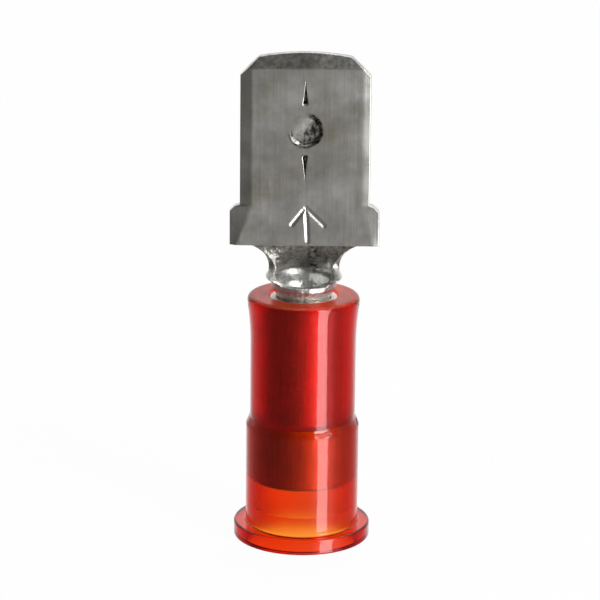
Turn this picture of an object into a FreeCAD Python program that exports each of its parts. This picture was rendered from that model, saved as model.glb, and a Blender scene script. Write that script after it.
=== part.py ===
import FreeCAD, Part
import math
import os

import Sketcher

# A male spade terminal with a moulded sleeve, in millimetres. It stands upright on the
# sleeve's flange: Z is up, X runs across the tab, and -Y is the side with the fold's seam.

os.makedirs("parts", exist_ok=True)
document = FreeCAD.newDocument("spade_terminal")

# Sizes that can be set by themselves: name, value, meaning.
SIZES = [
    ("stock", "0.4", "thickness of the sheet that the terminal is stamped from"),
    ("tabWidth", "6.35", "width of the folded tab"),
    ("tabLength", "7.65", "from the top of the stops to the tip"),
    ("tipArc", "12", "radius of the slightly convex tip edge"),
    ("cornerCut", "0.93", "cut across each corner of the tip"),
    ("tipBevelLength", "0.8", "height of the coined lead-in at the tip"),
    ("tipBevelDepth", "0.22", "how deep the lead-in goes into each face"),
    ("sideBevelWidth", "0.56", "width of the coined slope along each fold"),
    ("sideBevelDepth", "0.2", "how deep that slope goes into each face"),
    ("stopWidth", "7.34", "width across the two stops"),
    ("stopLength", "1.96", "height of the stops"),
    ("stopCut", "0.26", "cut across the upper corner of each stop"),
    ("bevelRunOut", "0.3", "width that the coined slope keeps at the foot of a stop"),
    ("dimpleRise", "3.83", "centre of the dimple above the stops"),
    ("dimpleRadius", "0.8", "rim of the pressed dimple"),
    ("dimpleFloor", "0.42", "floor radius of the dimple"),
    ("dimpleDepth", "0.26", "depth of the dimple in each face"),
    ("slitStart", "1.3", "where the seam opens, from the centre of the dimple"),
    ("slitLength", "1.05", "length of each open stretch of the seam"),
    ("slitWidth", "0.15", "widest opening of the seam"),
    ("slitDepth", "0.3", "depth of the open seam"),
    ("barrelOuter", "2.6", "outer diameter of the rolled wire barrel"),
    ("barrelLength", "6.8", "length of the closed barrel"),
    ("collarOuter", "3.24", "diameter of the barrel's spread top"),
    ("collarHeight", "0.75", "height over which the barrel's top spreads"),
    ("barrelStandout", "0.68", "how far the closed barrel rises above the insulator"),
    ("entryBevel", "0.12", "bevel at the wire end of the barrel"),
    ("bowlHeight", "1.86", "from the closed barrel up to the stops"),
    ("bowlWidth", "3.76", "widest part of the bowl between barrel and tab"),
    ("bowlRise", "0.3", "widest part of the bowl above the closed barrel"),
    ("bowlWrap", "120", "degrees that the sheet wraps to each side at the bowl"),
    ("bowlBulge", "0.06", "how far the bowl's back stands out behind the barrel"),
    ("neckWidth", "3.52", "narrowest width under the stops"),
    ("waistSetback", "1.3", "how far the sheet's middle lies behind the axis at the waist"),
    ("waistWrap", "95", "degrees that the sheet wraps to each side at the waist"),
    ("rootWrap", "4", "degrees that the sheet wraps to each side under the stops"),
    ("barrelWrap", "136", "degrees that the sheet wraps to each side above the barrel"),
    ("neckFillet", "1.3", "radius between the stops and the neck"),
    ("gripWall", "0.36", "wall of the metal grip sleeve"),
    ("gripSkirtOuter", "4.42", "outer diameter of the grip sleeve's skirt"),
    ("gripFoot", "2.95", "height of the skirt's open end"),
    ("gripCone", "0.55", "height of the cone between skirt and upper part"),
    ("gripSetback", "0.1", "how far the grip sleeve stays below the mouth"),
    ("fitGap", "0.02", "clearance on the radius between nested pieces"),
    ("insulatorHeight", "12.52", "height of the insulator"),
    ("bodyOuter", "5.24", "diameter of the insulator's upper part"),
    ("mouthOuter", "5.6", "largest diameter of the insulator's mouth"),
    ("mouthLip", "0.26", "rounding on the outside of the mouth"),
    ("mouthBevel", "0.12", "bevel on the inside of the mouth"),
    ("flareHeight", "2.3", "height over which the mouth spreads"),
    ("skirtOuter", "5.63", "diameter of the insulator's lower part"),
    ("stepHeight", "5.85", "where the lower part ends"),
    ("stepRise", "0.38", "height of the slope between the two parts"),
    ("flangeOuter", "6.82", "diameter of the flange"),
    ("flangeHeight", "0.79", "thickness of the flange"),
    ("flangeRound", "0.12", "rounding of the flange's rim"),
    ("flangeRoot", "0.1", "fillet between the flange and the lower part"),
    ("funnelOuter", "5.1", "wire entry at the bottom face"),
    ("funnelHeight", "1.6", "height of the funnel at the wire entry"),
]

# Sizes that follow from those.
DERIVED = [
    ("barrelTop", "insulatorHeight + barrelStandout"),
    ("stopFoot", "barrelTop + bowlHeight"),
    ("stopTop", "stopFoot + stopLength"),
    ("tipTop", "stopTop + tabLength"),
    ("tipHalf", "tabWidth / 2 - cornerCut"),
    ("tipSide", "tipTop - tipArc + sqrt(tipArc ^ 2 - tipHalf ^ 2)"),
    ("dimpleCentre", "stopTop + dimpleRise"),
    ("stopBevelWidth", "(stopWidth - tabWidth) / 2 + sideBevelWidth"),
    ("barrelRadius", "barrelOuter / 2"),
    ("collarRadius", "collarOuter / 2"),
    ("collarFoot", "barrelTop - collarHeight"),
    ("gripInner", "barrelRadius + fitGap"),
    ("gripOuter", "gripInner + gripWall"),
    ("gripTop", "insulatorHeight - gripSetback"),
    ("coneTop", "stepHeight + stepRise"),
    ("coneFoot", "coneTop - gripCone"),
    ("upperBore", "gripOuter + fitGap"),
    ("lowerBore", "gripSkirtOuter / 2 + fitGap"),
    ("flareRise", "(mouthOuter - bodyOuter) / 2"),
    ("flareRadius", "(flareHeight ^ 2 + flareRise ^ 2) / (2 * flareRise)"),
]

sheet = document.addObject("Spreadsheet::Sheet", "Sizes")
for row, (name, value, meaning) in enumerate(SIZES, start=1):
    sheet.set("A%d" % row, name)
    sheet.set("B%d" % row, value)
    sheet.set("C%d" % row, meaning)
    sheet.setAlias("B%d" % row, name)
for row, (name, formula) in enumerate(DERIVED, start=len(SIZES) + 1):
    sheet.set("A%d" % row, name)
    sheet.set("B%d" % row, "=" + formula)
    sheet.setAlias("B%d" % row, name)
document.recompute()


def bound(text):
    """Turn the size names in braces into references to the sheet."""
    return text.replace("{", "Sizes.").replace("}", "")


def worth(text):
    """Work out an expression of sizes."""
    return float(sheet.evalExpression(bound(text)))


def new_body(name):
    """Add a body for one form."""
    body = document.addObject("PartDesign::Body", name)
    body.Label = name
    return body


def origin_plane(body, role):
    """Return one of the body's own planes."""
    planes = [feature for feature in body.Origin.OriginFeatures if feature.Role == role]
    return planes[0]


def arc_middle(start, end, radius, side):
    """Return the middle point of an arc. Side 1 bulges to the right of its direction,
    which is outside a counterclockwise outline, and side -1 bulges inside."""
    chord = end - start
    half = chord.Length / 2
    rise = radius - math.sqrt(radius * radius - half * half)
    right = FreeCAD.Vector(chord.y, -chord.x, 0).normalize()
    return (start + end) * 0.5 + right * (rise * side)


def pin(sketch, kind, index, point, text):
    """Fix one coordinate of a corner to an expression of sizes."""
    number = sketch.addConstraint(
        Sketcher.Constraint(kind, -1, 1, index, point, worth(text)))
    sketch.setExpression("Constraints[%d]" % number, bound(text))


def outline(body, name, role, corners, shift=("0", "0")):
    """Draw a closed counterclockwise outline in one of the body's planes. A corner is
    its two coordinates, and where an arc leads to the next corner, that arc's radius and
    side. The shift moves the sketch up its own Y axis and along the plane's normal."""
    sketch = body.newObject("Sketcher::SketchObject", name)
    sketch.AttachmentSupport = [(origin_plane(body, role), "")]
    sketch.MapMode = "FlatFace"
    sketch.setExpression("AttachmentOffset.Base.y", bound(shift[0]))
    sketch.setExpression("AttachmentOffset.Base.z", bound(shift[1]))
    count = len(corners)
    places = [FreeCAD.Vector(worth(corner[0]), worth(corner[1]), 0) for corner in corners]
    first_points = []
    for index, corner in enumerate(corners):
        start = places[index]
        end = places[(index + 1) % count]
        if len(corner) == 2:
            sketch.addGeometry(Part.LineSegment(start, end), False)
        else:
            middle = arc_middle(start, end, worth(corner[2]), corner[3])
            sketch.addGeometry(Part.Arc(start, middle, end), False)
        near = sketch.getPoint(index, 1).distanceToPoint(start)
        far = sketch.getPoint(index, 1).distanceToPoint(end)
        first_points.append(1 if near < far else 2)
    for index, corner in enumerate(corners):
        following = (index + 1) % count
        sketch.addConstraint(Sketcher.Constraint(
            "Coincident", index, 3 - first_points[index], following, first_points[following]))
        pin(sketch, "DistanceX", index, first_points[index], corner[0])
        pin(sketch, "DistanceY", index, first_points[index], corner[1])
        if len(corner) > 2:
            number = sketch.addConstraint(
                Sketcher.Constraint("Radius", index, worth(corner[2])))
            sketch.setExpression("Constraints[%d]" % number, bound(corner[2]))
    return sketch


def extrude(body, kind, name, sketch, length, symmetric=False):
    """Pad or pocket a sketch. A pad follows the normal of the sketch, a pocket opposes it."""
    feature = body.newObject("PartDesign::" + kind, name)
    feature.Profile = sketch
    feature.setExpression("Length", bound(length))
    if symmetric:
        feature.SideType = "Symmetric"
    return feature


def revolve(body, kind, name, sketch, axis):
    """Turn a sketch once round one of its own axes."""
    feature = body.newObject("PartDesign::" + kind, name)
    feature.Profile = sketch
    feature.ReferenceAxis = (sketch, [axis])
    feature.Angle = 360
    return feature


# The tab: the sheet folded double, with its coined edges, its stops and its dimples.
def bevelled_section(width, slope):
    """Return the eight corners of a flat section whose long edges slope on both faces."""
    half = "(" + width + ") / 2"
    inner = "(" + half + " - (" + slope + "))"
    face = "{stock}"
    side = "({stock} - {sideBevelDepth})"
    return [
        ("-" + inner, "-" + face),
        (inner, "-" + face),
        (half, "-" + side),
        (half, side),
        (inner, face),
        ("-" + inner, face),
        ("-(" + half + ")", side),
        ("-(" + half + ")", "-" + side),
    ]


def add_stops(body):
    """The wider foot of the fold. Its coined slopes run out towards the lower corners."""
    foot = outline(body, "stop_foot", "XY_Plane",
                   bevelled_section("{stopWidth}", "{bevelRunOut}"), ("0", "{stopFoot}"))
    top = outline(body, "stop_top", "XY_Plane",
                  bevelled_section("{stopWidth}", "{stopBevelWidth}"), ("0", "{stopTop}"))
    stops = body.newObject("PartDesign::AdditiveLoft", "stops")
    stops.Profile = foot
    stops.Sections = [top]
    stops.Ruled = True


def add_blade(body):
    """The straight blade between the stops and the tip."""
    section = outline(body, "blade_section", "XY_Plane",
                      bevelled_section("{tabWidth}", "{sideBevelWidth}"), ("0", "{stopTop}"))
    extrude(body, "Pad", "blade", section, "{tabLength}")


def cut_tip(body):
    """The convex tip edge and the cuts across its corners."""
    corner = "({tipSide} - {cornerCut})"
    above = "({tipTop} + {cornerCut})"
    waste = outline(body, "tip_waste", "XZ_Plane", [
        ("{tabWidth} / 2", corner),
        ("{tabWidth}", corner),
        ("{tabWidth}", above),
        ("-{tabWidth}", above),
        ("-{tabWidth}", corner),
        ("-{tabWidth} / 2", corner),
        ("-{tipHalf}", "{tipSide}", "{tipArc}", -1),
        ("{tipHalf}", "{tipSide}"),
    ])
    extrude(body, "Pocket", "tip_edge", waste, "4 * {stock}", True)


def cut_lead_in(body, name, side):
    """The slope that one face of the tip has, so that it finds its way into a receptacle."""
    face = side + "{stock}"
    edge = side + "({stock} - {tipBevelDepth})"
    low = (face, "{tipTop} - {tipBevelLength}")
    inner = (edge, "{tipTop}")
    outer = (face, "{tipTop}")
    corners = [low, outer, inner] if side == "" else [low, inner, outer]
    waste = outline(body, name + "_waste", "YZ_Plane", corners)
    extrude(body, "Pocket", name, waste, "2 * {tabWidth}", True)


def cut_stop_corner(body, name, side):
    """The small cut across the upper corner of one stop."""
    high = (side + "({stopWidth} / 2 - {stopCut})", "{stopTop}")
    low = (side + "{stopWidth} / 2", "{stopTop} - {stopCut}")
    outer = (side + "{stopWidth} / 2", "{stopTop}")
    corners = [high, low, outer] if side == "" else [high, outer, low]
    waste = outline(body, name + "_waste", "XZ_Plane", corners)
    extrude(body, "Pocket", name, waste, "4 * {stock}", True)


def cut_dimple(body, name, side):
    """The round detent pressed into one face, with a sloped wall and a flat floor."""
    outside = side + "2 * {stock}"
    face = side + "{stock}"
    floor = side + "({stock} - {dimpleDepth})"
    corners = [
        (outside, "0"),
        (outside, "{dimpleRadius}"),
        (face, "{dimpleRadius}"),
        (floor, "{dimpleFloor}"),
        (floor, "0"),
    ]
    if side == "-":
        corners.reverse()
    waste = outline(body, name + "_waste", "YZ_Plane", corners, ("{dimpleCentre}", "0"))
    revolve(body, "Groove", name, waste, "H_Axis")


def cut_slit(body, name, side):
    """One open stretch of the seam on the front face, widest near the dimple."""
    start = "{dimpleCentre} " + side + " {slitStart}"
    end = "{dimpleCentre} " + side + " ({slitStart} + {slitLength})"
    left = ("-{slitWidth} / 2", start)
    right = ("{slitWidth} / 2", start)
    point = ("0", end)
    corners = [left, right, point] if side == "+" else [left, point, right]
    waste = outline(body, name + "_waste", "XZ_Plane", corners, ("0", "{stock}"))
    extrude(body, "Pocket", name, waste, "{slitDepth}")


def make_tab():
    body = new_body("folded_tab")
    add_stops(body)
    add_blade(body)
    cut_tip(body)
    cut_lead_in(body, "lead_in_back", "")
    cut_lead_in(body, "lead_in_front", "-")
    cut_stop_corner(body, "stop_corner_right", "")
    cut_stop_corner(body, "stop_corner_left", "-")
    cut_dimple(body, "dimple_back", "")
    cut_dimple(body, "dimple_front", "-")
    cut_slit(body, "slit_upper", "+")
    cut_slit(body, "slit_lower", "-")
    return body


# The barrel: a closed tube that spreads at the top, with a bevel where the wire goes in.
def make_barrel():
    body = new_body("wire_barrel")
    foot = "({barrelTop} - {barrelLength})"
    inner = "({barrelRadius} - {stock})"
    section = outline(body, "barrel_section", "XZ_Plane", [
        (inner + " + {entryBevel}", foot),
        ("{barrelRadius}", foot),
        ("{barrelRadius}", "{collarFoot}"),
        ("{collarRadius}", "{barrelTop}"),
        ("{collarRadius} - {stock}", "{barrelTop}"),
        (inner, "{collarFoot}"),
        (inner, foot + " + {entryBevel}"),
    ])
    revolve(body, "Revolution", "barrel", section, "V_Axis")
    return body


# The neck: the single sheet below the fold, bent from flat into the round barrel. Each of
# its three stretches has this many steps.
STEPS = 6


def neck_station(height, half_width, wrap, back):
    """Return one section of the bent sheet as a wire. The sheet follows an arc that wraps
    from the back by the given angle to each side, and back is the sheet's middle there."""
    stock = worth("{stock}")
    if wrap < math.pi / 2:
        middle = half_width / math.sin(wrap) - stock / 2
    else:
        middle = half_width - stock / 2
    centre = back - middle
    points = []
    for radius in (middle + stock / 2, middle - stock / 2):
        row = []
        for share in (-1, -0.5, 0, 0.5, 1):
            angle = wrap * share
            row.append(FreeCAD.Vector(
                radius * math.sin(angle), centre + radius * math.cos(angle), height))
        points.append(row)
    outer, inner = points
    return Part.Wire([
        Part.Arc(outer[0], outer[1], outer[2]).toShape(),
        Part.Arc(outer[2], outer[3], outer[4]).toShape(),
        Part.LineSegment(outer[4], inner[4]).toShape(),
        Part.Arc(inner[4], inner[3], inner[2]).toShape(),
        Part.Arc(inner[2], inner[1], inner[0]).toShape(),
        Part.LineSegment(inner[0], outer[0]).toShape(),
    ])


def ease(start, end, share):
    """Go from start to end along half a cosine wave."""
    return start + (end - start) * (1 - math.cos(math.pi * share)) / 2


def make_neck():
    """Loft the neck through closely spaced sections. They follow the fillet under the stops
    down to the waist, deepen into a bowl and draw in to the barrel's top, whose front edge
    is square, while the back of the sheet moves from the tab's plane behind the barrel."""
    stock = worth("{stock}")
    foot = worth("{barrelTop}")
    collar = worth("{collarRadius}")
    fillet = worth("{neckFillet}")
    neck = worth("{neckWidth}") / 2
    bowl = worth("{bowlWidth}") / 2
    waist_height = worth("{stopFoot}") - fillet
    bowl_height = foot + worth("{bowlRise}")
    root_wrap = math.radians(worth("{rootWrap}"))
    waist_wrap = math.radians(worth("{waistWrap}"))
    bowl_wrap = math.radians(worth("{bowlWrap}"))
    barrel_wrap = math.radians(worth("{barrelWrap}"))
    root_back = stock / 2
    collar_back = collar - stock / 2
    bowl_back = collar_back + worth("{bowlBulge}")
    waist_back = worth("{waistSetback}")
    stations = []
    for step in range(STEPS + 1):
        angle = math.pi / 2 * (1 - step / STEPS)
        sunk = 1 - math.sin(angle)
        stations.append((waist_height + fillet * math.sin(angle),
                         neck + fillet * (1 - math.cos(angle)),
                         root_wrap + (waist_wrap - root_wrap) * sunk,
                         ease(root_back, waist_back, sunk)))
    for step in range(1, STEPS + 1):
        share = step / STEPS
        stations.append((waist_height + (bowl_height - waist_height) * share,
                         ease(neck, bowl, share),
                         waist_wrap + (bowl_wrap - waist_wrap) * share,
                         waist_back + (bowl_back - waist_back) * math.sin(math.pi / 2 * share)))
    for step in range(1, STEPS + 1):
        share = step / STEPS
        stations.append((bowl_height + (foot - bowl_height) * share,
                         ease(bowl, collar, share),
                         bowl_wrap + (barrel_wrap - bowl_wrap) * share,
                         ease(bowl_back, collar_back, share)))
    wires = [neck_station(*station) for station in stations]
    neck_feature = document.addObject("Part::Feature", "bent_neck")
    neck_feature.Shape = Part.makeLoft(wires, True, True)
    neck_feature.Placement = FreeCAD.Placement()
    return neck_feature


def make_terminal():
    """Join tab, neck and barrel, which are one piece of sheet."""
    terminal = document.addObject("Part::MultiFuse", "terminal")
    terminal.Shapes = [make_tab(), make_neck(), make_barrel()]
    terminal.Refine = True
    return terminal


# The grip sleeve: a thin drawn tube round the barrel, wider where it grips the insulation.
def make_grip_sleeve():
    body = new_body("grip_sleeve")
    skirt = "{gripSkirtOuter} / 2"
    section = outline(body, "grip_section", "XZ_Plane", [
        (skirt + " - {gripWall}", "{gripFoot}"),
        (skirt, "{gripFoot}"),
        (skirt, "{coneFoot}"),
        ("{gripOuter}", "{coneTop}"),
        ("{gripOuter}", "{gripTop}"),
        ("{gripInner}", "{gripTop}"),
        ("{gripInner}", "{coneTop}"),
        (skirt + " - {gripWall}", "{coneFoot}"),
    ])
    revolve(body, "Revolution", "grip_tube", section, "V_Axis")
    return body


# The insulator: a moulded sleeve with a flange, a step and a spread mouth.
def make_insulator():
    body = new_body("insulator")
    rim = "{flangeOuter} / 2"
    mouth = "{mouthOuter} / 2"
    top = "{insulatorHeight}"
    section = outline(body, "insulator_section", "XZ_Plane", [
        ("{funnelOuter} / 2", "0"),
        (rim + " - {flangeRound}", "0", "{flangeRound}", 1),
        (rim, "{flangeRound}"),
        (rim, "{flangeHeight} - {flangeRound}", "{flangeRound}", 1),
        (rim + " - {flangeRound}", "{flangeHeight}"),
        ("{skirtOuter} / 2 + {flangeRoot}", "{flangeHeight}", "{flangeRoot}", -1),
        ("{skirtOuter} / 2", "{flangeHeight} + {flangeRoot}"),
        ("{skirtOuter} / 2", "{stepHeight}"),
        ("{bodyOuter} / 2", "{coneTop}"),
        ("{bodyOuter} / 2", top + " - {mouthLip} - {flareHeight}", "{flareRadius}", -1),
        (mouth, top + " - {mouthLip}", "{mouthLip}", 1),
        (mouth + " - {mouthLip}", top),
        ("{upperBore} + {mouthBevel}", top),
        ("{upperBore}", top + " - {mouthBevel}"),
        ("{upperBore}", "{coneTop}"),
        ("{lowerBore}", "{coneFoot}"),
        ("{lowerBore}", "{funnelHeight}"),
    ])
    revolve(body, "Revolution", "insulator_sleeve", section, "V_Axis")
    return body


parts = [make_terminal(), make_grip_sleeve(), make_insulator()]
document.recompute()

for item in document.Objects:
    if "Invalid" in item.State or "Error" in item.State:
        raise RuntimeError("%s did not build: %s" % (item.Name, item.State))

for part in parts:
    shape = part.Shape
    if shape.isNull() or not shape.isValid():
        raise RuntimeError("%s has no sound shape" % part.Label)
    box = shape.optimalBoundingBox()
    print("%s: %d solid(s), %.3f mm3, x %.2f..%.2f, y %.2f..%.2f, z %.2f..%.2f" % (
        part.Label, len(shape.Solids), shape.Volume, box.XMin, box.XMax, box.YMin,
        box.YMax, box.ZMin, box.ZMax))
    shape.exportStep("parts/%s.step" % part.Label)
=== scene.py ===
import math

import bpy
import numpy as np
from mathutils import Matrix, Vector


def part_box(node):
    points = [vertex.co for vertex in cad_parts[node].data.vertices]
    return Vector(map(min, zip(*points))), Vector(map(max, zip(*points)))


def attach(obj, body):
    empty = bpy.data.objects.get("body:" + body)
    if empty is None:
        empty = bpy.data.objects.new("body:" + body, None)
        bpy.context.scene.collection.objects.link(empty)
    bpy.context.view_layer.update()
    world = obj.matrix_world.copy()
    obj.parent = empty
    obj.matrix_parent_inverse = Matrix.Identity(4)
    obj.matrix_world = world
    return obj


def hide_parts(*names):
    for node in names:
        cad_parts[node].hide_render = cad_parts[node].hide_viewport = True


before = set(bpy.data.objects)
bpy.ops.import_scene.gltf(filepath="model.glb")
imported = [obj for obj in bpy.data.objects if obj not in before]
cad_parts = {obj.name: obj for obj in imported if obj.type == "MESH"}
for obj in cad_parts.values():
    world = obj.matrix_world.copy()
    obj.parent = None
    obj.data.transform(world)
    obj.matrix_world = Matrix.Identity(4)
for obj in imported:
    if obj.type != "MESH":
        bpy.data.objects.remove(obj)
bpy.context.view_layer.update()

# The frame's own heights and widths carry every piece below. They and all lengths below
# are in millimetres, apart from the studio's lamps and floor, which are in metres.
MM = 0.001
insulator_high = np.array(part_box("insulator")[1]) / MM
terminal_low, terminal_high = (np.array(corner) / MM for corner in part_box("terminal"))
grip_low, grip_high = (np.array(corner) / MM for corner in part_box("grip_sleeve"))


# The insulator: a sleeve of translucent red nylon, moulded in one piece. It has a flange
# with a funnel for the wire, a step over the grip sleeve's cone and a mouth that spreads.
# It is pressed over the grip sleeve, which shows dark through its wall.
flange_radius = insulator_high[0]
insulator_top = insulator_high[2]
FLANGE_HEIGHT = 0.79
SKIRT_RADIUS = 2.815
BODY_RADIUS = 2.62
MOUTH_RADIUS = 2.8
STEP_FOOT = 5.85
STEP_TOP = 6.23
FLARE_HEIGHT = 2.3
LIP_ROUND = 0.26
FUNNEL_RADIUS = 2.55
FUNNEL_HEIGHT = 1.6
LOWER_BORE = 2.23
UPPER_BORE = 1.7
BORE_CONE = 0.2

# Within each pair one face's finish goes over into the next: the matt bores into the
# polished wall, the wall into the flange, and the wall into the mouth's end face.
POLISHED_RADII = (2.4, 2.55)
FLANGE_RADII = (2.85, 2.95)
MOUTH_HEIGHTS = (12.35, 12.45)

# The step's unevenness. A wave is its height, how often it goes round and where it starts.
STEP_WAVES = ((0.5, 3, 0.4), (0.3, 7, 1.9), (0.22, 12, 0.7), (0.14, 23, 2.3))
STEP_RISE = 0.045
STEP_SWELL = 0.006
STEP_REACH = 0.3
RIDGE_WAVES = ((0.03, 11, 2), (0.03, 29, 0.3))
RIDGE_BREAKS = ((1.6, 5, 5.6), (1, 17, 1.1))
RIDGE_HEIGHT = 0.04
RIDGE_WIDTH = 0.035
DIP_WIDTH = 0.04
DIP_BELOW = 0.08
OUTER_WALL = 2.45
INSULATOR_STEPS = 256


def rounded_outline(corners, spacing=0.3):
    """Walk round a closed outline of corners (radius, height, rounding). Each corner is an
    arc of its rounding that touches both sides. A side between two arcs is divided evenly
    between two points close to the arcs, and one shorter than 0.06 mm isn't divided.
    Returns the points as one array."""
    arc_points = 7
    close = 0.015
    count = len(corners)
    place = np.array([corner[:2] for corner in corners], float)
    arcs = []
    for index in range(count):
        before = place[index - 1] - place[index]
        after = place[(index + 1) % count] - place[index]
        before = before / np.linalg.norm(before)
        after = after / np.linalg.norm(after)
        rounding = corners[index][2]
        if rounding == 0:
            arcs.append(place[index][None])
            continue
        half = math.acos(np.clip(before @ after, -1, 1)) / 2
        reach = rounding / math.tan(half)
        middle = before + after
        centre = place[index] + middle / np.linalg.norm(middle) * rounding / math.sin(half)
        start = place[index] + before * reach - centre
        end = place[index] + after * reach - centre
        turn = math.pi - 2 * half
        share = np.linspace(0, 1, arc_points)[:, None]
        arcs.append(centre + (start * np.sin((1 - share) * turn)
                              + end * np.sin(share * turn)) / math.sin(turn))
    points = []
    for index in range(count):
        points.append(arcs[index])
        start = arcs[index][-1]
        end = arcs[(index + 1) % count][0]
        length = np.linalg.norm(end - start)
        if length < 4 * close:
            continue
        near = close / length
        inner = np.linspace(near, 1 - near, max(2, int(length / spacing) + 1))[:, None]
        points.append(start + (end - start) * inner)
    return np.concatenate(points)


def turned_points(outline, steps, wander=None):
    """Turn a closed outline round the Z axis. A point at radius r, height z and angle a is
    (r sin a, -r cos a, z), so angle 0 is the front. Wander changes r and z by angle."""
    angle = np.linspace(0, 2 * math.pi, steps, endpoint=False)
    radius = np.repeat(outline[:, 0][:, None], steps, axis=1)
    height = np.repeat(outline[:, 1][:, None], steps, axis=1)
    if wander is not None:
        radius, height = wander(radius, height, angle[None, :])
    return np.stack([radius * np.sin(angle), -radius * np.cos(angle), height], axis=-1)


def grid_faces(rows, columns, closed_rows=False, closed_columns=False):
    """Number the points of a grid row by row, and join each four neighbours to a face. A
    closed direction joins its last line to its first."""
    number = np.arange(rows * columns).reshape(rows, columns)
    if closed_rows:
        number = np.concatenate([number, number[:1]], axis=0)
    if closed_columns:
        number = np.concatenate([number, number[:, :1]], axis=1)
    return np.stack([number[:-1, :-1], number[:-1, 1:], number[1:, 1:], number[1:, :-1]],
                    axis=-1).reshape(-1, 4)


def new_piece(name, points, faces, **marks):
    """Make a smooth mesh of points in millimetres, turn its faces outward and put it in the
    scene. Each row of marks becomes a point attribute of its name."""
    mesh = bpy.data.meshes.new(name)
    mesh.from_pydata((points.reshape(-1, 3) * MM).tolist(), [], faces.tolist())
    for mark, values in marks.items():
        mesh.attributes.new(mark, "FLOAT", "POINT").data.foreach_set("value", values)
    piece = bpy.data.objects.new(name, mesh)
    bpy.context.scene.collection.objects.link(piece)
    bpy.context.view_layer.objects.active = piece
    piece.select_set(True)
    bpy.ops.object.mode_set(mode="EDIT")
    bpy.ops.mesh.select_all(action="SELECT")
    bpy.ops.mesh.normals_make_consistent(inside=False)
    bpy.ops.object.mode_set(mode="OBJECT")
    piece.select_set(False)
    mesh.shade_smooth()
    return piece


def wave_sum(angle, waves):
    """Add sine waves of (height, number in one turn, start)."""
    return sum(height * np.sin(count * angle + start) for height, count, start in waves)


def step_wander(radius, height, angle):
    """The slope of the step isn't true to the axis: on the outer wall its height and radius
    go up and down by a sum of sine waves round the sleeve, strongest at the slope and gone
    0.6 mm away from it. The mould's parts met there and left a broken ridge with a dip
    below, along other waves."""
    wave = wave_sum(angle, STEP_WAVES)
    outside = np.clip((radius - OUTER_WALL) / 0.1, 0, 1)
    middle = (STEP_FOOT + STEP_TOP) / 2
    near = np.exp(-((height - middle) / STEP_REACH) ** 2) * outside
    above = height - middle - wave_sum(angle, RIDGE_WAVES)
    ridge = np.exp(-(above / RIDGE_WIDTH) ** 2) - np.exp(-((above + DIP_BELOW) / DIP_WIDTH) ** 2)
    broken = np.clip(wave_sum(angle, RIDGE_BREAKS), 0, 1)
    radius = radius + (STEP_SWELL * wave * near + RIDGE_HEIGHT * ridge * broken) * outside
    return radius, height + STEP_RISE * wave * near


def new_material(name):
    """Make a material with nodes. Returns it with its node tree and its main shader."""
    material = bpy.data.materials.new(name)
    material.use_nodes = True
    return material, material.node_tree, material.node_tree.nodes["Principled BSDF"]


def feed(tree, socket, value):
    """Link another node's output to an input socket, or set a plain number or a colour of
    (red, green, blue) on it."""
    if isinstance(value, bpy.types.NodeSocket):
        tree.links.new(value, socket)
    elif isinstance(value, tuple):
        socket.default_value = (*value, 1)
    else:
        socket.default_value = value


def compute(tree, operation, *values, clamp=False):
    """One operation on numbers, each of them a plain number or another node's output."""
    node = tree.nodes.new("ShaderNodeMath")
    node.operation = operation
    node.use_clamp = clamp
    for socket, value in zip(node.inputs, values):
        feed(tree, socket, value)
    return node.outputs["Value"]


def spread(tree, value, start, end, low=0, high=1):
    """Map a value between start and end evenly onto low to high, and hold it beyond."""
    node = tree.nodes.new("ShaderNodeMapRange")
    node.inputs["From Min"].default_value = start
    node.inputs["From Max"].default_value = end
    node.inputs["To Min"].default_value = low
    node.inputs["To Max"].default_value = high
    tree.links.new(value, node.inputs["Value"])
    return node.outputs["Result"]


def ramp(tree, value, stops):
    """The colour of a value on a ramp through stops of (value, (red, green, blue))."""
    node = tree.nodes.new("ShaderNodeValToRGB")
    elements = node.color_ramp.elements
    while len(elements) < len(stops):
        elements.new(0.5)
    for element, (position, colour) in zip(elements, stops):
        element.position = position
        element.color = (*colour, 1)
    tree.links.new(value, node.inputs["Fac"])
    return node.outputs["Color"]


def mixed(tree, share, first, second, blend="MIX"):
    """Take the first colour over into the second one, or into what the blend makes of both,
    by a share from 0 to 1. Each of the three is a plain value or another node's output."""
    node = tree.nodes.new("ShaderNodeMix")
    node.data_type = "RGBA"
    node.blend_type = blend
    feed(tree, node.inputs["Factor"], share)
    feed(tree, node.inputs["A"], first)
    feed(tree, node.inputs["B"], second)
    return node.outputs["Result"]


def scaled(tree, place, scale):
    """Scale a place along each axis. Noise that is read there is drawn out where it is
    less than 1."""
    node = tree.nodes.new("ShaderNodeMapping")
    node.inputs["Scale"].default_value = scale
    tree.links.new(place, node.inputs["Vector"])
    return node.outputs["Vector"]


def noise(tree, place, scale, detail, roughness=0.5):
    """Soft noise with about so many waves to the metre as its scale, and with finer waves
    of the given detail and roughness on top."""
    node = tree.nodes.new("ShaderNodeTexNoise")
    node.inputs["Scale"].default_value = scale
    node.inputs["Detail"].default_value = detail
    node.inputs["Roughness"].default_value = roughness
    tree.links.new(place, node.inputs["Vector"])
    return node.outputs["Fac"]


def bumped(tree, height, strength, distance, normal=None):
    """Tilt the surface by a height of at most this distance, on top of another bump."""
    node = tree.nodes.new("ShaderNodeBump")
    node.inputs["Strength"].default_value = strength
    node.inputs["Distance"].default_value = distance
    tree.links.new(height, node.inputs["Height"])
    if normal is not None:
        tree.links.new(normal, node.inputs["Normal"])
    return node.outputs["Normal"]


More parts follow.
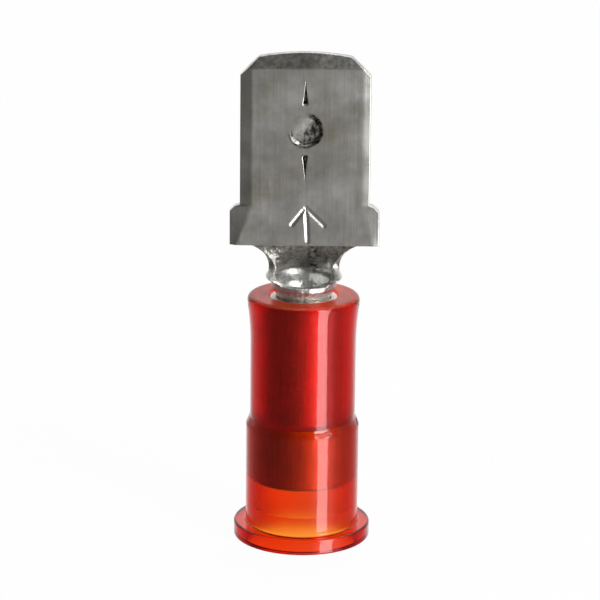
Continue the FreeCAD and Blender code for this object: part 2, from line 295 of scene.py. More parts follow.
def blend_surface(tree, share, first, second):
    """Make the material's surface of two shaders, the second one with the given share."""
    node = tree.nodes.new("ShaderNodeMixShader")
    tree.links.new(share, node.inputs["Fac"])
    tree.links.new(first, node.inputs[1])
    tree.links.new(second, node.inputs[2])
    tree.links.new(node.outputs["Shader"], tree.nodes["Material Output"].inputs["Surface"])


def over_range(tree, length, limits):
    """How far a length in metres is past a range of two limits in millimetres, 0 to 1."""
    start, end = limits
    return spread(tree, length, start * MM, end * MM)


def nylon():
    """Glossy red nylon that light goes through. Its colour comes from its thickness: green
    and blue are absorbed within a millimetre, so thin walls look orange and thick ones red.
    The bores are matt, the flange is redder, and the mouth's end face is the cloudiest."""
    material, tree, shader = new_material("red_nylon")
    shader.inputs["Transmission Weight"].default_value = 1.0
    shader.inputs["IOR"].default_value = 1.53
    place = tree.nodes.new("ShaderNodeTexCoord").outputs["Object"]
    radius = tree.nodes.new("ShaderNodeVectorMath")
    radius.operation = "LENGTH"
    tree.links.new(scaled(tree, place, (1, 1, 0)), radius.inputs[0])
    height = tree.nodes.new("ShaderNodeSeparateXYZ")
    tree.links.new(place, height.inputs["Vector"])
    wall = over_range(tree, radius.outputs["Value"], POLISHED_RADII)
    flange = over_range(tree, radius.outputs["Value"], FLANGE_RADII)
    mouth = over_range(tree, height.outputs["Z"], MOUTH_HEIGHTS)

    polished = compute(tree, "MAXIMUM", wall, mouth)
    matt, glossy = 0.42, 0.07
    tree.links.new(spread(tree, polished, 0, 1, matt, glossy), shader.inputs["Roughness"])
    haze = noise(tree, place, scale=420, detail=4)
    tint = ramp(tree, haze, [(0.3, (1, 0.84, 0.8)), (0.7, (1, 0.97, 0.95))])
    redder = mixed(tree, flange, tint, (0.62, 0.15, 0.2))
    tree.links.new(redder, shader.inputs["Base Color"])
    drawn = noise(tree, scaled(tree, place, (1, 1, 0.12)), scale=1500, detail=3)
    uneven = bumped(tree, drawn, strength=0.25, distance=0.02 * MM)
    tree.links.new(uneven, shader.inputs["Normal"])

    clouded = tree.nodes.new("ShaderNodeBsdfDiffuse")
    milky = mixed(tree, mouth, (0.6, 0.03, 0.002), (0.95, 0.12, 0.04))
    tree.links.new(milky, clouded.inputs["Color"])
    clear_share, mouth_share = 0.04, 0.33
    cloudy = spread(tree, mouth, 0, 1, clear_share, mouth_share)
    blend_surface(tree, cloudy, shader.outputs["BSDF"], clouded.outputs["BSDF"])
    absorb = tree.nodes.new("ShaderNodeVolumeAbsorption")
    absorb.inputs["Color"].default_value = (0.998, 0.68, 0.0, 1)
    absorb.inputs["Density"].default_value = 7500
    tree.links.new(absorb.outputs["Volume"], tree.nodes["Material Output"].inputs["Volume"])
    return material


flare_share = np.linspace(0, 1, 13)[1:-1]
flare_foot = insulator_top - LIP_ROUND - FLARE_HEIGHT
flare = [(BODY_RADIUS + (MOUTH_RADIUS - BODY_RADIUS) * share ** 2,
          flare_foot + FLARE_HEIGHT * share, 0) for share in flare_share]
step_share = np.linspace(0, 1, 15)[2:-2]
step = [(SKIRT_RADIUS + (BODY_RADIUS - SKIRT_RADIUS) * share,
         STEP_FOOT + (STEP_TOP - STEP_FOOT) * share, 0) for share in step_share]
insulator_outline = rounded_outline([
    (FUNNEL_RADIUS, 0, 0.06),
    (flange_radius, 0, 0.12),
    (flange_radius, FLANGE_HEIGHT, 0.12),
    (SKIRT_RADIUS, FLANGE_HEIGHT, 0.1),
    (SKIRT_RADIUS, STEP_FOOT, 0.08),
    *step,
    (BODY_RADIUS, STEP_TOP, 0.08),
    (BODY_RADIUS, flare_foot, 0),
    *flare,
    (MOUTH_RADIUS, insulator_top, LIP_ROUND),
    (UPPER_BORE, insulator_top, 0.1),
    (UPPER_BORE, STEP_TOP, 0.1),
    (LOWER_BORE, STEP_TOP - BORE_CONE, 0.1),
    (LOWER_BORE, FUNNEL_HEIGHT, 0.3),
])
insulator_points = turned_points(insulator_outline, INSULATOR_STEPS, step_wander)
insulator = new_piece("moulded_insulator", insulator_points,
                      grid_faces(*insulator_points.shape[:2], closed_rows=True,
                                 closed_columns=True))
insulator.data.materials.append(nylon())
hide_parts("insulator")
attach(insulator, "root")


# The grip sleeve: a thin drawn tube of tinned metal, pressed round the barrel and into the
# insulator, whose wall it touches all round. Its rounded end ring shows in the mouth, and
# its wider skirt grips the wire. It is drawn a hair larger than its solid, so that it
# touches the nylon, because a film of air between them would shine white.
TIGHT = 0.022
GRIP_WALL = 0.36
RING_RADIUS = 1.68
METAL_STEPS = 160
ring_radius = RING_RADIUS + TIGHT
skirt_radius = grip_high[0] + TIGHT


def grey(level):
    """The grey colour of this level."""
    return (level, level, level)


def marked(tree, name):
    """The point attribute of this name, which is 0 on a piece that hasn't got it."""
    node = tree.nodes.new("ShaderNodeAttribute")
    node.attribute_name = name
    return node.outputs["Fac"]


def tinned_metal(name, base, dark, rough, brush):
    """Bright tin over a copper alloy: a metal whose colour and gloss wander in soft
    patches, with yellowish tarnish and with fine lines along the part as the rolled sheet
    has. One point attribute paints the base colour brighter: on the arrow's strokes as worn
    metal and painted highlight, on the lower neck and the barrel as painted highlight.
    Another paints it dark and speckled as painted shade, in the slits, the dimple, on the
    lead-in and on the neck. The attribute 'bent' marks where bending has roughened it."""
    material, tree, shader = new_material(name)
    shader.inputs["Metallic"].default_value = 1.0
    place = tree.nodes.new("ShaderNodeTexCoord").outputs["Object"]
    rubbed, soiled, bent = (marked(tree, mark) for mark in ("rubbed", "soiled", "bent"))
    patches = noise(tree, place, scale=700, detail=5, roughness=0.65)
    tarnish = noise(tree, place, scale=420, detail=6, roughness=0.7)
    specks = noise(tree, place, scale=5200, detail=3)
    brushed = noise(tree, scaled(tree, place, (1, 1, 0.035)), scale=9000, detail=2)

    colour = ramp(tree, patches, [(0.32, dark), (0.68, base)])
    yellow = tuple(part * kept for part, kept in zip(dark, (0.84, 0.8, 0.6)))
    colour = mixed(tree, spread(tree, tarnish, 0.5, 0.68, 0, 0.55), colour, yellow)
    # Painted highlight, and worn metal on the arrow: the first mark lifts the base colour towards
    # near white.
    colour = mixed(tree, rubbed, colour, (0.9, 0.9, 0.88))
    # Painted shade: the second mark turns the base colour dark and speckled.
    speckled = spread(tree, specks, 0.35, 0.65, 0.4, 1.3)
    painted_shade_share = compute(tree, "MULTIPLY", soiled, speckled, clamp=True)
    colour = mixed(tree, painted_shade_share, colour, (0.04, 0.038, 0.034))
    streaks = ramp(tree, brushed, [(0.35, grey(0.91)), (0.6, grey(1))])
    colour = mixed(tree, 1, colour, streaks, "MULTIPLY")
    tree.links.new(colour, shader.inputs["Base Color"])

    gloss = spread(tree, patches, 0.3, 0.7, rough - 0.06, rough + 0.08)
    worked = compute(tree, "MULTIPLY_ADD", bent, 0.06, gloss)
    tree.links.new(worked, shader.inputs["Roughness"])
    rolled = bumped(tree, brushed, brush, 0.004 * MM)
    uneven = bumped(tree, patches, 0.5, 0.01 * MM, rolled)
    crushed = compute(tree, "MULTIPLY", bent, specks)
    pebbled = bumped(tree, crushed, 0.7, 0.08 * MM, uneven)
    tree.links.new(pebbled, shader.inputs["Normal"])
    return material


grip_outline = rounded_outline([
    (skirt_radius - GRIP_WALL, grip_low[2], 0.05),
    (skirt_radius, grip_low[2], 0.2),
    (skirt_radius, STEP_TOP - BORE_CONE, 0.1),
    (ring_radius, STEP_TOP, 0.1),
    (ring_radius, grip_high[2], 0.08),
    (ring_radius - GRIP_WALL, grip_high[2], 0.08),
    (ring_radius - GRIP_WALL, STEP_TOP, 0.1),
    (skirt_radius - GRIP_WALL, STEP_TOP - BORE_CONE, 0.1),
])
grip_points = turned_points(grip_outline, METAL_STEPS)
grip_sleeve = new_piece("drawn_grip_sleeve", grip_points,
                        grid_faces(*grip_points.shape[:2], closed_rows=True,
                                   closed_columns=True))
grip_sleeve.data.materials.append(
    tinned_metal("grip_metal", base=(0.88, 0.85, 0.8), dark=(0.76, 0.73, 0.68),
                 rough=0.5, brush=0.2))
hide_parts("grip_sleeve")
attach(grip_sleeve, "root")


# The terminal: one stamping of tinned sheet. The tab is the sheet folded double, so both
# wings meet in a seam on the front, and coining has sloped its edges and pressed a dimple.
# Below the stops the single sheet bends into a bowl and rolls up into the wire barrel.
STOCK = 0.4
TAB_HALF = 3.175
STOP_FOOT = 15.06
STOP_TOP = 17.02
STOP_CUT = 0.26
TIP_ARC = 12.0
CORNER_CUT = 0.93
RUN_OUT = 0.3
RIM_ROUND = 0.04
SLOPE_BLEND = 0.03
FACE_BLEND = 0.012
DIMPLE_HEIGHT = 20.85
DIMPLE_DEPTH = 0.165
DIMPLE_WALL = (0.84, 0.66)
DIMPLE_DIAGONAL = 1.13
SEAM_WIDTH = 0.02
SEAM_DEPTH = 0.002
SLIT_REACH = (1.3, 2.35)
SLIT_HALF = 0.115
SLIT_DEPTH = 0.34
SHADE_BEFORE_SLIT = 0.07
ARROW_DEPTH = 0.045
ARROW_HALF = 0.14
ARROW_TIP = (0.06, 16.96)
ARROW_STROKES = ((ARROW_TIP, (0.16, 15.32)), ((-0.05, 16.86), (-0.62, 16.13)),
                 ((0.18, 16.86), (0.96, 16.1)))

# The width of each coined slope and how far it falls.
LEAD_IN = (0.8, 0.22)
LEFT_SLOPE = (0.56, 0.17)
RIGHT_SLOPE = (0.36, 0.045)
stop_half = terminal_high[0]
tip_top = terminal_high[2]
barrel_foot = terminal_low[2]


def soft_step(low, high, value):
    """Rise from 0 at low to 1 at high along a cubic without a kink."""
    share = np.clip((value - low) / (high - low), 0, 1)
    return share * share * (3 - 2 * share)


def soft_least(first, second, blend):
    """The smaller of two values, with the corner between them rounded over the blend."""
    share = np.clip(0.5 + 0.5 * (second - first) / blend, 0, 1)
    return second * (1 - share) + first * share - blend * share * (1 - share)


def stroke(across, up, start, end):
    """Distance of each point of the face from a straight stroke between two points."""
    run = np.array(end) - np.array(start)
    share = ((across - start[0]) * run[0] + (up - start[1]) * run[1]) / (run @ run)
    share = np.clip(share, 0, 1)
    return np.hypot(across - start[0] - run[0] * share, up - start[1] - run[1] * share)


def arrow_distance(across, up):
    """Distance of each point of the face from the nearest stroke of the arrow."""
    return np.minimum.reduce([stroke(across, up, *ends) for ends in ARROW_STROKES])


def dimple_place(across, up):
    """Distance of each point from the dimple's centre, and how far it lies to the lower
    right of it, from -1 to 1 across the dimple."""
    away = np.hypot(across, up - DIMPLE_HEIGHT)
    return away, (across - up + DIMPLE_HEIGHT) / DIMPLE_DIAGONAL


def slit_place(across, up):
    """Distance of each point along the seam from the dimple's centre, and how far inside
    a slit it lies: 1 on the seam, 0 on the slit's edge. A slit narrows to its end."""
    along = np.abs(up - DIMPLE_HEIGHT)
    start, end = SLIT_REACH
    half = SLIT_HALF * (1 - (along - start) / (end - start))
    return along, 1 - np.abs(across) / np.maximum(half, 0.004)


def lead_in_depth(up):
    """Half the thickness that the slope of the lead-in would leave at each height."""
    return STOCK - LEAD_IN[1] * (up - tip_top + LEAD_IN[0]) / LEAD_IN[0]


def tab_half_depth(across, up, edge, front):
    """Half the thickness of the tab at each point. From half of the double sheet it falls
    along the side slopes, the lead-in, the rounded rim and the pressed dimple, whose floor
    is deepest at its lower right. The front also has the seam, its two open stretches and
    the stamped arrow."""
    outer = np.where(up > STOP_TOP, TAB_HALF, stop_half)
    share = np.clip((up - STOP_FOOT) / (STOP_TOP - STOP_FOOT), 0, 1)
    width = np.where(across < 0, LEFT_SLOPE[0], RIGHT_SLOPE[0])
    fall = np.where(across < 0, LEFT_SLOPE[1], RIGHT_SLOPE[1])
    inner = (stop_half - RUN_OUT) * (1 - share) + (TAB_HALF - width) * share
    side = STOCK - fall * (np.abs(across) - inner) / (outer - inner)
    slopes = soft_least(side, lead_in_depth(up), SLOPE_BLEND)
    depth = soft_least(slopes, np.full_like(up, STOCK), FACE_BLEND)
    round_share = np.clip(1 - edge / RIM_ROUND, 0, 1)
    depth = depth - RIM_ROUND * (1 - np.sqrt(1 - round_share ** 2))
    away, low_right = dimple_place(across, up)
    depth = depth - DIMPLE_DEPTH * soft_step(-0.85, 1, low_right) * soft_step(*DIMPLE_WALL, away)
    if front:
        along, inside = slit_place(across, up)
        open_here = (along > SLIT_REACH[0]) & (along < SLIT_REACH[1])
        depth = depth - SLIT_DEPTH * open_here * np.clip(2 * inside, 0, 1)
        depth = depth - SEAM_DEPTH * np.exp(-(across / SEAM_WIDTH) ** 2) * (away > 0.9)
        distance = arrow_distance(across, up)
        depth = depth - ARROW_DEPTH * np.clip(1 - distance / ARROW_HALF, 0, 1)
    return depth


def tab_painted_light(across, up, front):
    """The painted highlight and the painted shade at each point of the tab. Painted shade
    darkens the lead-in, the lower right of the dimple, its wall and the slits. The arrow's
    strokes are painted bright, as worn metal and as a painted highlight, broken here and
    there along sine waves."""
    away, low_right = dimple_place(across, up)
    floor = soft_step(0.9, 0.7, away) * (0.1 + 0.75 * soft_step(-0.4, 0.2, low_right))
    wall = soft_step(0.6, 0.68, away) * soft_step(0.92, 0.84, away)
    dimple = np.maximum(floor, 0.9 * wall * soft_step(-0.8, -0.3, low_right))
    # Painted shade on the lead-in.
    soiled = 0.4 * np.clip((STOCK - lead_in_depth(up)) / 0.02, 0, 1)
    rubbed = np.zeros_like(up)
    if front:
        along, inside = slit_place(across, up)
        crack = (along > SLIT_REACH[0] - SHADE_BEFORE_SLIT) & (along < SLIT_REACH[1])
        # Painted shade in the dimple and in the slits.
        soiled = np.maximum(soiled, dimple)
        soiled = np.maximum(soiled, crack * np.clip(0.5 + 3 * inside, 0, 1))
        # Painted highlight and worn metal along the arrow's strokes.
        worn = 0.68 + 0.32 * np.sin(21 * up + 9 * across) * np.sin(13 * up - 17 * across)
        rubbed = np.clip(1.5 - arrow_distance(across, up) / 0.09, 0, 1) * worn
    return rubbed, soiled


def graded(stretches):
    """Join evenly divided stretches (start, end, spacing) into one rising row of values."""
    rows = [np.linspace(start, end, max(1, round((end - start) / spacing)), endpoint=False)
            for start, end, spacing in stretches]
    return np.concatenate(rows + [[stretches[-1][1]]])


def tab_points():
    """Lay a grid over the tab's outline, once for the front and once for the back. A column
    is a share of the half width and a row a share of the height up to the tip edge, which
    is an arc between two straight corner cuts. Both lie closer where the seam, the arrow,
    the dimple and the rims are. Returns both grids and the two marks."""
    half_columns = graded([(0, 0.03, 0.005), (0.03, 0.32, 0.01), (0.32, 0.81, 0.022),
                           (0.81, 0.97, 0.016), (0.97, 1, 0.005)])
    column = np.concatenate([-half_columns[:0:-1], half_columns])
    level = graded([(STOP_FOOT, STOP_FOOT + 0.08, 0.02), (STOP_FOOT + 0.08, 16.5, 0.035),
                    (16.5, STOP_TOP, 0.03), (STOP_TOP, 18.3, 0.08), (18.3, 23.2, 0.045),
                    (23.2, tip_top - 0.1, 0.05), (tip_top - 0.1, tip_top, 0.02)])
    half = np.where(level > STOP_TOP + 1e-6, TAB_HALF,
                    stop_half - np.clip(level - (STOP_TOP - STOP_CUT), 0, STOP_CUT))
    across = column[None, :] * half[:, None]
    flat_half = TAB_HALF - CORNER_CUT
    place = np.minimum(np.abs(across), TAB_HALF)
    drop = TIP_ARC - np.sqrt(TIP_ARC ** 2 - np.minimum(place, flat_half) ** 2)
    top = tip_top - drop - np.clip(place - flat_half, 0, None)
    share = (level[:, None] - STOP_TOP) / (tip_top - STOP_TOP)
    up = np.where(share > 0, STOP_TOP + share * (top - STOP_TOP), level[:, None])
    edge = np.minimum.reduce([half[:, None] - np.abs(across), top - up, up - STOP_FOOT])
    points = []
    rubbed = []
    soiled = []
    for front in (True, False):
        depth = tab_half_depth(across, up, np.maximum(edge, 0), front)
        points.append(np.stack([across, -depth if front else depth, up], axis=-1))
        highlight_paint, shade_paint = tab_painted_light(across, up, front)
        rubbed.append(highlight_paint.ravel())
        soiled.append(shade_paint.ravel())
    return points, np.concatenate(rubbed), np.concatenate(soiled)


def tab_faces(rows, columns):
    """Faces of the two grids and of the rim that joins their borders."""
    number = np.arange(rows * columns).reshape(rows, columns)
    sheet = grid_faces(rows, columns)
    border = np.concatenate([number[0, :-1], number[:-1, -1], number[-1, :0:-1],
                             number[:0:-1, 0]])
    following = np.roll(border, -1)
    other = rows * columns
    rim = np.stack([border, following, following + other, border + other], axis=-1)
    return np.concatenate([sheet, sheet[:, ::-1] + other, rim])


BARREL_RADIUS = 1.3
COLLAR_RADIUS = 1.62
COLLAR_FOOT = 12.45
BARREL_TOP = 13.2
ENTRY_BEVEL = 0.12
NECK_FILLET = 1.3
NECK_HALF = 1.76
BOWL_HALF = 1.88
BOWL_RISE = 0.3
BOWL_BULGE = 0.06
WAIST_SETBACK = 1.3
STRIP_ROUND = 0.07
SEAM_GROOVE = 0.025
GROOVE_HALF = 0.05

# How many degrees the sheet wraps to each side at the root, the waist, the bowl and the
# barrel. How far the strip reaches into the fold above and the collar below, and how much
# its size changes there.
WRAPS = (4, 80, 116, 136)
ROOT_REACH = 0.12
ROOT_NARROWER = 0.02
COLLAR_REACH = (0.1, 0.2)
COLLAR_WIDER = 0.001
COLLAR_THINNER = 0.05

# Marks on the neck: bending roughens it, a painted highlight brightens the lower neck and
# the barrel, a painted shade dulls the upper neck, and a painted dark reflection lies in a
# valley. The heights over which each one sets in, how strong it is, and where across the
# neck its dark valley lies.
BENT_BELOW = (15.1, 14.6)
LOWER_HIGHLIGHT_BELOW = (14.1, 13.5)
LOWER_HIGHLIGHT = 0.95
UPPER_SHADE_ABOVE = (13.75, 14.15)
UPPER_SHADE = 0.5
VALLEY_ABOVE = (13.15, 13.5)
VALLEY_SHADE = 0.72
VALLEY_MIDDLE = 0.42
VALLEY_HALF = 0.75


def ease(start, end, share):
    """Go from start to end along half a cosine wave."""
    return start + (end - start) * (1 - np.cos(math.pi * share)) / 2


def neck_stations():
    """Height, half width, wrap angle, place of the sheet's middle behind the axis and
    thickness for each section, from inside the fold down into the collar's wall. The first
    section is a little narrower and the last one thinner, so that both end in the metal."""
    waist = STOP_FOOT - NECK_FILLET
    bowl = BARREL_TOP + BOWL_RISE
    root_back = STOCK / 2
    collar_back = COLLAR_RADIUS - STOCK / 2
    bowl_back = collar_back + BOWL_BULGE
    root_wrap, waist_wrap, bowl_wrap, barrel_wrap = np.radians(WRAPS)
    angle = np.linspace(math.pi / 2, 0, 30)
    sunk = 1 - np.sin(angle)
    fillet = np.stack([waist + NECK_FILLET * np.sin(angle),
                       NECK_HALF + NECK_FILLET * (1 - np.cos(angle)),
                       root_wrap + (waist_wrap - root_wrap) * sunk ** 2,
                       root_back + (WAIST_SETBACK - root_back)
                       * (1 - np.cos(math.pi / 2 * sunk))], axis=-1)
    share = np.linspace(0, 1, 19)[1:]
    deepen = np.stack([waist + (bowl - waist) * share,
                       ease(NECK_HALF, BOWL_HALF, share),
                       waist_wrap + (bowl_wrap - waist_wrap) * share,
                       WAIST_SETBACK + (bowl_back - WAIST_SETBACK) * np.sin(math.pi / 2 * share)],
                      axis=-1)
    close = np.stack([bowl + (BARREL_TOP - bowl) * share,
                      ease(BOWL_HALF, COLLAR_RADIUS, share),
                      bowl_wrap + (barrel_wrap - bowl_wrap) * share,
                      ease(bowl_back, collar_back, share)], axis=-1)
    root = fillet[:1] + np.array([ROOT_REACH, -ROOT_NARROWER, 0, 0])
    overlap = close[-1:] - np.array([COLLAR_REACH[0], -COLLAR_WIDER, 0, 0])
    inside = close[-1:] - np.array([COLLAR_REACH[1], 0, 0, 0])
    station = np.concatenate([root, fillet, deepen, close, overlap, inside])
    thickness = np.full(len(station), STOCK)
    thickness[-1] = STOCK - COLLAR_THINNER
    return np.column_stack([station, thickness])


def neck_points():
    """Each section is a strip of the sheet bent along an arc: an outer and an inner arc
    with rounded edges between. A point at angle a from the back is (r sin a, c + r cos a)."""
    station = neck_stations()
    height, half, wrap, back, sheet = (station[:, column][:, None] for column in range(5))
    middle = np.where(wrap < math.pi / 2, half / np.sin(np.minimum(wrap, math.pi / 2)),
                      half) - STOCK / 2
    centre = back - middle
    share = np.linspace(-1, 1, 61)[None, :]
    corner = np.linspace(0, math.pi / 2, 5)[None, 1:-1]
    inset = STRIP_ROUND / middle
    outer_angle = share * (wrap - inset)
    end_angle = wrap - inset * (1 - np.sin(corner))
    end_radius = sheet / 2 - STRIP_ROUND * (1 - np.cos(corner))
    angle = np.concatenate([outer_angle, end_angle, end_angle[:, ::-1], outer_angle[:, ::-1],
                            -end_angle, -end_angle[:, ::-1]], axis=1)
    flat = np.repeat(sheet / 2, share.shape[1], axis=1)
    offset = np.concatenate([flat, end_radius, -end_radius[:, ::-1],
                             -flat, -end_radius, end_radius[:, ::-1]], axis=1)
    radius = middle + offset
    return np.stack([radius * np.sin(angle), centre + radius * np.cos(angle),
                     np.repeat(height, angle.shape[1], axis=1)], axis=-1)


def neck_faces(rows, columns):
    """Faces round the strip, and the caps that close its two ends across the sheet."""
    number = np.arange(rows * columns).reshape(rows, columns)
    side = grid_faces(rows, columns, closed_columns=True)
    half = columns // 2
    caps = []
    for row in (0, rows - 1):
        outer = np.roll(number[row], 3)[:half]
        inner = np.roll(number[row], 3)[:half - 1:-1]
        caps.append(np.stack([outer[:-1], outer[1:], inner[1:], inner[:-1]], axis=-1))
    return np.concatenate([side] + caps)


def seam_wander(radius, height, angle):
    """The rolled edges meet at the front in a rounded groove along the barrel's outer
    face, which lies beyond the middle of the wall."""
    turn = np.minimum(angle, 2 * math.pi - angle)
    groove = np.exp(-(turn * BARREL_RADIUS / GROOVE_HALF) ** 2)
    opened = np.clip((height - COLLAR_FOOT) / (BARREL_TOP - COLLAR_FOOT), 0, 1)
    middle = BARREL_RADIUS - STOCK / 2 + (COLLAR_RADIUS - BARREL_RADIUS) * opened
    return radius - SEAM_GROOVE * groove * (radius > middle), height


barrel_inner = BARREL_RADIUS - STOCK
barrel_outline = rounded_outline([
    (barrel_inner + ENTRY_BEVEL, barrel_foot, 0.02),
    (BARREL_RADIUS, barrel_foot, 0.05),
    (BARREL_RADIUS, COLLAR_FOOT, 0.3),
    (COLLAR_RADIUS - 0.01, COLLAR_FOOT + 0.5, 0.2),
    (COLLAR_RADIUS, BARREL_TOP, 0.07),
    (COLLAR_RADIUS - STOCK, BARREL_TOP, 0.03),
    (COLLAR_RADIUS - STOCK - 0.01, COLLAR_FOOT + 0.4, 0.35),
    (barrel_inner, COLLAR_FOOT - 0.1, 0.3),
    (barrel_inner, barrel_foot + ENTRY_BEVEL, 0.02),
])
tab_grids, tab_rubbed, tab_soiled = tab_points()
neck_grid = neck_points()
barrel_grid = turned_points(barrel_outline, METAL_STEPS, seam_wander)
tab_shape = tab_grids[0].shape[:2]
tab_count = 2 * tab_shape[0] * tab_shape[1]
neck_count = neck_grid.shape[0] * neck_grid.shape[1]
terminal_points = np.concatenate([grid.reshape(-1, 3)
                                  for grid in (*tab_grids, neck_grid, barrel_grid)])
terminal_faces = np.concatenate([
    tab_faces(*tab_shape),
    neck_faces(*neck_grid.shape[:2]) + tab_count,
    grid_faces(*barrel_grid.shape[:2], closed_rows=True, closed_columns=True)
    + tab_count + neck_count,
])
below_tab = terminal_points[tab_count:, 2]
neck_across, neck_up = neck_grid[..., 0].ravel(), neck_grid[..., 2].ravel()
# Painted shade on the neck: a dark valley of painted reflection, and the upper neck dulled.
valley = (np.exp(-((neck_across - VALLEY_MIDDLE) / VALLEY_HALF) ** 2)
          * soft_step(*VALLEY_ABOVE, neck_up))
neck_soiled = np.maximum(VALLEY_SHADE * valley, UPPER_SHADE * soft_step(*UPPER_SHADE_ABOVE, neck_up))
barrel_soiled = np.zeros(len(below_tab) - neck_count)
soiled_marks = np.concatenate([tab_soiled, neck_soiled, barrel_soiled])
# Painted highlight on the lower neck and the barrel, joined to the arrow's marks.
rubbed_marks = np.concatenate([tab_rubbed, LOWER_HIGHLIGHT * soft_step(*LOWER_HIGHLIGHT_BELOW, below_tab)])
bent_marks = np.concatenate([np.zeros(tab_count), soft_step(*BENT_BELOW, below_tab)])
terminal = new_piece("stamped_terminal", terminal_points, terminal_faces,
                     rubbed=rubbed_marks, soiled=soiled_marks, bent=bent_marks)
terminal.data.materials.append(
    tinned_metal("tinned_sheet", base=(0.9, 0.885, 0.845), dark=(0.7, 0.685, 0.63),
                 rough=0.33, brush=0.6))
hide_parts("terminal")
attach(terminal, "root")


# The studio: a pale floor, a white backdrop behind, a tall and an upper soft box on the
# right of the camera, a wide one above and behind, and a darker room on the left, which
# bare metal and the red wall reflect.

# The room's level at each bearing, in degrees from the front towards the right, the share
# of its dark band at each height of a direction, from 0 at the horizon to 1 at the zenith,
# and where along a direction the pale ceiling and the space behind the object begin.
ROOM_LEVELS = ((-180, 1.0), (-160, 1.0), (-137, 0.45), (-116, 0.21), (-95, 0.12),
               (-55, 0.1), (-25, 0.13), (0, 0.22), (17, 0.3), (27, 0.9), (62, 0.9),
               (74, 0.33), (90, 0.2), (112, 0.2), (130, 0.35), (154, 1.0), (180, 1.0))
DARK_BAND = ((0.0, 0.0), (0.1, 1.0), (0.88, 1.0), (0.95, 0.0))
CEILING_EDGE = (0.88, 0.96)
UPPER_FRONT_EDGE = (0, 0.35)
BEHIND_EDGE = (-0.48, -0.8)
CEILING = 0.9
DARK = 0.05
BEHIND = 1.2
LAMP_AIM = np.array([0, 0, 12]) * MM
FLOOR_HALF = 1.5
FLOOR_WHITE = 0.965


def studio_world():
    """White for camera rays. Other rays see a level that depends on their direction. Round
    the object it is white behind, dark on the left of the camera and brighter on its right.
    The upper front is almost black and the zenith pale. Rays that have gone through the
    nylon see a brighter level behind it."""
    world = bpy.data.worlds.new("studio")
    world.use_nodes = True
    bpy.context.scene.world = world
    tree = world.node_tree
    parts = tree.nodes.new("ShaderNodeSeparateXYZ")
    place = tree.nodes.new("ShaderNodeTexCoord")
    tree.links.new(place.outputs["Generated"], parts.inputs["Vector"])
    rise = parts.outputs["Z"]
    front = compute(tree, "MULTIPLY", parts.outputs["Y"], -1)
    bearing = compute(tree, "ARCTAN2", parts.outputs["X"], front)
    turn = spread(tree, bearing, -math.pi, math.pi)
    level = ramp(tree, turn, [((degrees + 180) / 360, grey(bright))
                              for degrees, bright in ROOM_LEVELS])
    level = mixed(tree, spread(tree, rise, *CEILING_EDGE), level, grey(CEILING))

    band = ramp(tree, rise, [(height, grey(share)) for height, share in DARK_BAND])
    upper_front = compute(tree, "MULTIPLY", band, spread(tree, front, *UPPER_FRONT_EDGE))
    level = mixed(tree, upper_front, level, grey(DARK))

    rays = tree.nodes.new("ShaderNodeLightPath")
    behind = spread(tree, front, *BEHIND_EDGE)
    through = compute(tree, "MULTIPLY", rays.outputs["Is Transmission Ray"], behind)
    level = mixed(tree, through, level, grey(BEHIND))
    level = mixed(tree, rays.outputs["Is Camera Ray"], level, grey(1))
    tree.links.new(level, tree.nodes["Background"].inputs["Color"])


def soft_box(name, bearing, elevation, distance, width, height, radiance):
    """A rectangular lamp that faces the object, at a bearing from the front towards the
    right. Its watts are its radiance times its area times pi."""
    lamp = bpy.data.lights.new(name, "AREA")
    lamp.shape = "RECTANGLE"
    lamp.size = width
    lamp.size_y = height
    lamp.energy = radiance * width * height * math.pi
    holder = bpy.data.objects.new(name, lamp)
    turn, rise = math.radians(bearing), math.radians(elevation)
    away = np.array([math.sin(turn) * math.cos(rise), -math.cos(turn) * math.cos(rise),
                     math.sin(rise)])
    holder.location = LAMP_AIM + away * distance
    holder.rotation_mode = "XYZ"
    holder.rotation_euler = (math.pi / 2 - rise, 0, turn)
    bpy.context.scene.collection.objects.link(holder)


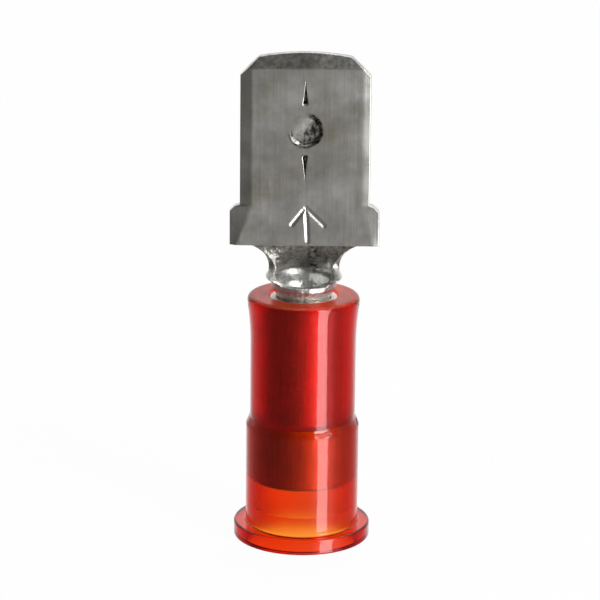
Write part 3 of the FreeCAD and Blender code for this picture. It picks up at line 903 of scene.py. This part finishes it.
def pale_floor():
    """A pale matt floor. Camera rays see it almost white, with the object's soft shadow."""
    mesh = bpy.data.meshes.new("floor")
    corners = [(-FLOOR_HALF, -FLOOR_HALF, 0), (FLOOR_HALF, -FLOOR_HALF, 0),
               (FLOOR_HALF, FLOOR_HALF, 0), (-FLOOR_HALF, FLOOR_HALF, 0)]
    mesh.from_pydata(corners, [], [(0, 1, 2, 3)])
    floor = bpy.data.objects.new("floor", mesh)
    bpy.context.scene.collection.objects.link(floor)
    material, tree, shader = new_material("pale_floor")
    shader.inputs["Base Color"].default_value = (0.92, 0.92, 0.92, 1)
    shader.inputs["Roughness"].default_value = 0.9
    white = tree.nodes.new("ShaderNodeEmission")
    rays = tree.nodes.new("ShaderNodeLightPath")
    share = compute(tree, "MULTIPLY", rays.outputs["Is Camera Ray"], FLOOR_WHITE)
    blend_surface(tree, share, shader.outputs["BSDF"], white.outputs["Emission"])
    floor.data.materials.append(material)
    floor.visible_glossy = False
    floor.visible_transmission = False


studio_world()
pale_floor()
soft_box("side_soft_box", bearing=43, elevation=3, distance=0.5, width=0.2, height=0.9,
         radiance=5.2)
soft_box("upper_soft_box", bearing=50, elevation=36, distance=0.5, width=0.22, height=0.2,
         radiance=4.4)
soft_box("top_soft_box", bearing=150, elevation=65, distance=0.6, width=0.5, height=0.5,
         radiance=1.0)


# The camera stands 140 mm away, looks down by about 16 degrees and is turned a touch on
# its own axis, so that the terminal leans to the right as it does in the photograph. Its
# focal length is in pixels of a square picture of 600 pixels.
CAMERA_AWAY = 140
CAMERA_HEIGHT = 51.7
AIM = (-0.18, 0, 12.2)
PIXELS = 600
FOCAL_PIXELS = 2941
SENSOR = 36
ROLL = math.radians(0.58)
camera = bpy.data.cameras.new("camera")
camera.sensor_width = SENSOR
camera.lens = SENSOR * FOCAL_PIXELS / PIXELS
camera.clip_start = 0.005
eye = bpy.data.objects.new("camera", camera)
look = np.array(AIM) - np.array([AIM[0], -CAMERA_AWAY, CAMERA_HEIGHT])
pitch = math.atan2(-look[2], look[1])
eye.location = np.array([AIM[0], -CAMERA_AWAY, CAMERA_HEIGHT]) * MM
eye.rotation_mode = "ZXY"
eye.rotation_euler = (math.pi / 2 - pitch, 0, ROLL)
bpy.context.scene.collection.objects.link(eye)
bpy.context.scene.camera = eye
bpy.context.scene.view_settings.view_transform = "Standard"
